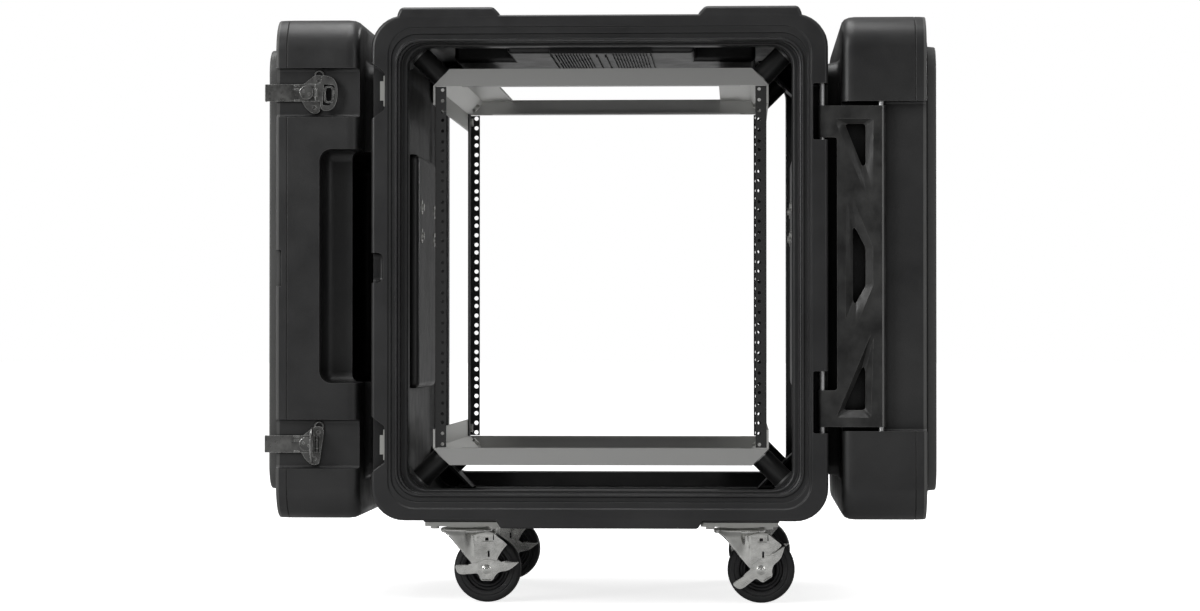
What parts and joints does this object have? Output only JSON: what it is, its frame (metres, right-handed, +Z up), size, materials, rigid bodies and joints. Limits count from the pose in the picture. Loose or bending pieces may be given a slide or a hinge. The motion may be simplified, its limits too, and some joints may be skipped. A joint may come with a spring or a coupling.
{
  "type": "shock mounted rack case",
  "caption": "Roto-moulded rack case with shock-mounted rack frame, two double-hinged docking doors with twist latches, and swivel casters with brakes.",
  "frame": {"origin": "on the floor under the middle of the case", "axes": "+Z up, front opening towards -Y, right side towards +X"},
  "size_m": [0.984, 0.7018, 0.8746],
  "materials": {
    "case_plastic": "moulded satin with fine grain",
    "door_plastic": "moulded satin with fine grain",
    "link_plastic": "satin moulded",
    "seal_rubber": "soft matte",
    "pin_steel": "zinc plated",
    "keeper_steel": "zinc plated",
    "beam_aluminium": "mill finish, brushed lengthwise",
    "corner_aluminium": "bright extruded, fluted",
    "rail_steel": "black powder coat",
    "mount_rubber": "satin",
    "mount_steel": "zinc plated",
    "bracket_steel": "black powder coat",
    "bolt_steel": "zinc plated",
    "handle_steel": "black powder coat",
    "caster_zinc": "pressed, bright zinc plated",
    "tyre_rubber": "dark rubber",
    "hub_plastic": "moulded",
    "latch_steel": "black zinc, semi gloss"
  },
  "bodies": {
    "root": {"body_shell": "case_plastic", "hinge_body_pins": "pin_steel", "keeper_plates": "keeper_steel", "cross_beams": "beam_aluminium", "corner_extrusions": "corner_aluminium", "front_rack_rails": "rail_steel", "rear_rack_rails": "rail_steel", "shock_mount_rubbers": "mount_rubber", "shock_mount_plates": "mount_steel", "corner_brackets": "bracket_steel", "frame_bolts": "bolt_steel", "handle_brackets": "handle_steel", "handle_bolts": "bolt_steel", "caster_plates": "caster_zinc", "caster_bolts": "bolt_steel"},
    "front_link": {"front_door_link": "link_plastic"},
    "front_door": {"front_door_shell": "door_plastic", "front_door_seal": "seal_rubber", "front_door_pin": "pin_steel", "front_latch_bases": "latch_steel"},
    "front_upper_rotor": {"front_upper_latch_rotor": "latch_steel"},
    "front_upper_hook": {"front_upper_latch_hook": "latch_steel"},
    "front_upper_wing": {"front_upper_latch_wing": "latch_steel"},
    "front_lower_rotor": {"front_lower_latch_rotor": "latch_steel"},
    "front_lower_hook": {"front_lower_latch_hook": "latch_steel"},
    "front_lower_wing": {"front_lower_latch_wing": "latch_steel"},
    "rear_link": {"rear_door_link": "link_plastic"},
    "rear_door": {"rear_door_shell": "door_plastic", "rear_door_seal": "seal_rubber", "rear_door_pin": "pin_steel", "rear_latch_bases": "latch_steel"},
    "rear_upper_rotor": {"rear_upper_latch_rotor": "latch_steel"},
    "rear_upper_hook": {"rear_upper_latch_hook": "latch_steel"},
    "rear_upper_wing": {"rear_upper_latch_wing": "latch_steel"},
    "rear_lower_rotor": {"rear_lower_latch_rotor": "latch_steel"},
    "rear_lower_hook": {"rear_lower_latch_hook": "latch_steel"},
    "rear_lower_wing": {"rear_lower_latch_wing": "latch_steel"},
    "left_handle": {"left_handle": "handle_steel"},
    "right_handle": {"right_handle": "handle_steel"},
    "front_left_fork": {"front_left_caster_fork": "caster_zinc", "front_left_caster_axle": "caster_zinc"},
    "front_left_wheel": {"front_left_caster_tyre": "tyre_rubber", "front_left_caster_hub": "hub_plastic"},
    "front_left_lever": {"front_left_brake_lever": "caster_zinc"},
    "front_right_fork": {"front_right_caster_fork": "caster_zinc", "front_right_caster_axle": "caster_zinc"},
    "front_right_wheel": {"front_right_caster_tyre": "tyre_rubber", "front_right_caster_hub": "hub_plastic"},
    "front_right_lever": {"front_right_brake_lever": "caster_zinc"},
    "rear_left_fork": {"rear_left_caster_fork": "caster_zinc", "rear_left_caster_axle": "caster_zinc"},
    "rear_left_wheel": {"rear_left_caster_tyre": "tyre_rubber", "rear_left_caster_hub": "hub_plastic"},
    "rear_left_lever": {"rear_left_brake_lever": "caster_zinc"},
    "rear_right_fork": {"rear_right_caster_fork": "caster_zinc", "rear_right_caster_axle": "caster_zinc"},
    "rear_right_wheel": {"rear_right_caster_tyre": "tyre_rubber", "rear_right_caster_hub": "hub_plastic"},
    "rear_right_lever": {"rear_right_brake_lever": "caster_zinc"}
  },
  "joints": [
    {"name": "front_link_hinge", "type": "hinge", "parent": "root", "child": "front_link", "pos_m": [0.3235, -0.331, 0.49525], "axis": [0, 0, 1], "range_deg": [-90, 0]},
    {"name": "front_door_hinge", "type": "hinge", "parent": "front_link", "child": "front_door", "pos_m": [0.409, -0.331, 0.49525], "axis": [0, 0, 1], "range_deg": [-180, 0]},
    {"name": "front_upper_latch_turn", "type": "hinge", "parent": "front_door", "child": "front_upper_rotor", "pos_m": [0.43, 0.3195, 0.75275], "axis": [0, 1, 0], "range_deg": [0, 180]},
    {"name": "front_upper_latch_draw", "type": "slide", "parent": "front_door", "child": "front_upper_hook", "axis": [-1, 0, 0], "range_m": [0, 0.006]},
    {"name": "front_upper_wing_fold", "type": "hinge", "parent": "front_upper_rotor", "child": "front_upper_wing", "pos_m": [0.415, 0.3219, 0.75275], "axis": [0, 0, -1], "range_deg": [0, 90]},
    {"name": "front_lower_latch_turn", "type": "hinge", "parent": "front_door", "child": "front_lower_rotor", "pos_m": [0.43, 0.3195, 0.23775], "axis": [0, 1, 0], "range_deg": [0, 180]},
    {"name": "front_lower_latch_draw", "type": "slide", "parent": "front_door", "child": "front_lower_hook", "axis": [-1, 0, 0], "range_m": [0, 0.006]},
    {"name": "front_lower_wing_fold", "type": "hinge", "parent": "front_lower_rotor", "child": "front_lower_wing", "pos_m": [0.415, 0.3219, 0.23775], "axis": [0, 0, -1], "range_deg": [-90, 0]},
    {"name": "rear_link_hinge", "type": "hinge", "parent": "root", "child": "rear_link", "pos_m": [-0.3235, 0.331, 0.49525], "axis": [0, 0, 1], "range_deg": [-90, 0]},
    {"name": "rear_door_hinge", "type": "hinge", "parent": "rear_link", "child": "rear_door", "pos_m": [-0.409, 0.331, 0.49525], "axis": [0, 0, 1], "range_deg": [-180, 0]},
    {"name": "rear_upper_latch_turn", "type": "hinge", "parent": "rear_door", "child": "rear_upper_rotor", "pos_m": [-0.43, -0.3195, 0.75275], "axis": [0, -1, 0], "range_deg": [0, 180]},
    {"name": "rear_upper_latch_draw", "type": "slide", "parent": "rear_door", "child": "rear_upper_hook", "axis": [1, 0, 0], "range_m": [0, 0.006]},
    {"name": "rear_upper_wing_fold", "type": "hinge", "parent": "rear_upper_rotor", "child": "rear_upper_wing", "pos_m": [-0.415, -0.3219, 0.75275], "axis": [0, 0, -1], "range_deg": [0, 90]},
    {"name": "rear_lower_latch_turn", "type": "hinge", "parent": "rear_door", "child": "rear_lower_rotor", "pos_m": [-0.43, -0.3195, 0.23775], "axis": [0, -1, 0], "range_deg": [0, 180]},
    {"name": "rear_lower_latch_draw", "type": "slide", "parent": "rear_door", "child": "rear_lower_hook", "axis": [1, 0, 0], "range_m": [0, 0.006]},
    {"name": "rear_lower_wing_fold", "type": "hinge", "parent": "rear_lower_rotor", "child": "rear_lower_wing", "pos_m": [-0.415, -0.3219, 0.23775], "axis": [0, 0, -1], "range_deg": [-90, 0]},
    {"name": "left_handle_swing", "type": "hinge", "parent": "root", "child": "left_handle", "pos_m": [-0.301, 0, 0.572], "axis": [0, 1, 0], "range_deg": [0, 90]},
    {"name": "right_handle_swing", "type": "hinge", "parent": "root", "child": "right_handle", "pos_m": [0.301, 0, 0.572], "axis": [0, -1, 0], "range_deg": [0, 90]},
    {"name": "front_left_swivel", "type": "hinge", "parent": "root", "child": "front_left_fork", "pos_m": [-0.2035, -0.222, 0.1], "axis": [0, 0, 1], "continuous": true},
    {"name": "front_left_wheel_spin", "type": "hinge", "parent": "front_left_fork", "child": "front_left_wheel", "pos_m": [-0.1715, -0.222, 0.05], "axis": [0, 1, 0], "continuous": true},
    {"name": "front_left_brake", "type": "hinge", "parent": "front_left_fork", "child": "front_left_lever", "pos_m": [-0.1715, -0.246, 0.05], "axis": [0, -1, 0], "range_deg": [0, 33]},
    {"name": "front_right_swivel", "type": "hinge", "parent": "root", "child": "front_right_fork", "pos_m": [0.2035, -0.222, 0.1], "axis": [0, 0, 1], "continuous": true},
    {"name": "front_right_wheel_spin", "type": "hinge", "parent": "front_right_fork", "child": "front_right_wheel", "pos_m": [0.2355, -0.222, 0.05], "axis": [0, 1, 0], "continuous": true},
    {"name": "front_right_brake", "type": "hinge", "parent": "front_right_fork", "child": "front_right_lever", "pos_m": [0.2355, -0.246, 0.05], "axis": [0, -1, 0], "range_deg": [-33, 0]},
    {"name": "rear_left_swivel", "type": "hinge", "parent": "root", "child": "rear_left_fork", "pos_m": [-0.2035, 0.222, 0.1], "axis": [0, 0, 1], "continuous": true},
    {"name": "rear_left_wheel_spin", "type": "hinge", "parent": "rear_left_fork", "child": "rear_left_wheel", "pos_m": [-0.1715, 0.222, 0.05], "axis": [0, 1, 0], "continuous": true},
    {"name": "rear_left_brake", "type": "hinge", "parent": "rear_left_fork", "child": "rear_left_lever", "pos_m": [-0.1715, 0.198, 0.05], "axis": [0, -1, 0], "range_deg": [0, 33]},
    {"name": "rear_right_swivel", "type": "hinge", "parent": "root", "child": "rear_right_fork", "pos_m": [0.2035, 0.222, 0.1], "axis": [0, 0, 1], "continuous": true},
    {"name": "rear_right_wheel_spin", "type": "hinge", "parent": "rear_right_fork", "child": "rear_right_wheel", "pos_m": [0.2355, 0.222, 0.05], "axis": [0, 1, 0], "continuous": true},
    {"name": "rear_right_brake", "type": "hinge", "parent": "rear_right_fork", "child": "rear_right_lever", "pos_m": [0.2355, 0.198, 0.05], "axis": [0, -1, 0], "range_deg": [0, 33]}
  ],
  "couplings": [
    {"joint": "front_upper_latch_draw", "follows": "front_upper_latch_turn", "m_per_rad": 0.0019099},
    {"joint": "front_lower_latch_draw", "follows": "front_lower_latch_turn", "m_per_rad": 0.0019099},
    {"joint": "rear_upper_latch_draw", "follows": "rear_upper_latch_turn", "m_per_rad": 0.0019099},
    {"joint": "rear_lower_latch_draw", "follows": "rear_lower_latch_turn", "m_per_rad": 0.0019099}
  ]
}
